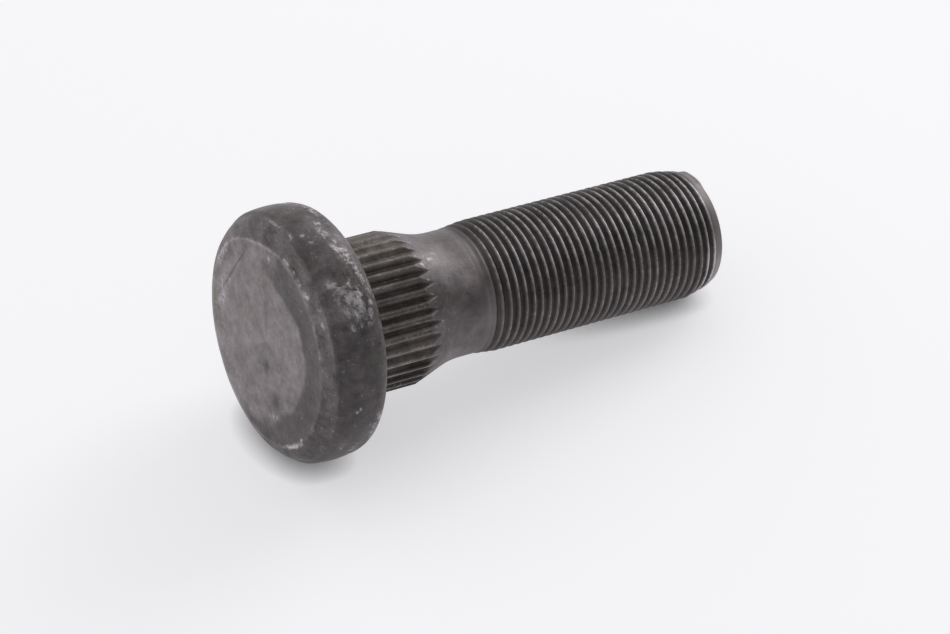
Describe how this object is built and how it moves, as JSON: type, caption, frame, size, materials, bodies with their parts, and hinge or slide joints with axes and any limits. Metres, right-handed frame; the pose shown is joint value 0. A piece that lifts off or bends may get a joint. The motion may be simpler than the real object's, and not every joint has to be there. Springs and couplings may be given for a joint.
{
  "type": "wheel bolt",
  "caption": "Press-in wheel bolt with a round flat head, a serrated shoulder, a tapered neck and a fine-threaded shank.",
  "frame": {"origin": "centre of the flat front face of the head, on which the bolt stands", "axes": "+Z along the bolt's axis, from the head towards the threaded end; +X and +Y across it, each pointing at the middle of a land between two serrations"},
  "size_m": [0.0418, 0.0418, 0.0815],
  "materials": {
    "steel": "dark phosphated and oiled, with bare worn edges"
  },
  "bodies": {
    "root": {"wheel_bolt": "steel"}
  },
  "joints": []
}
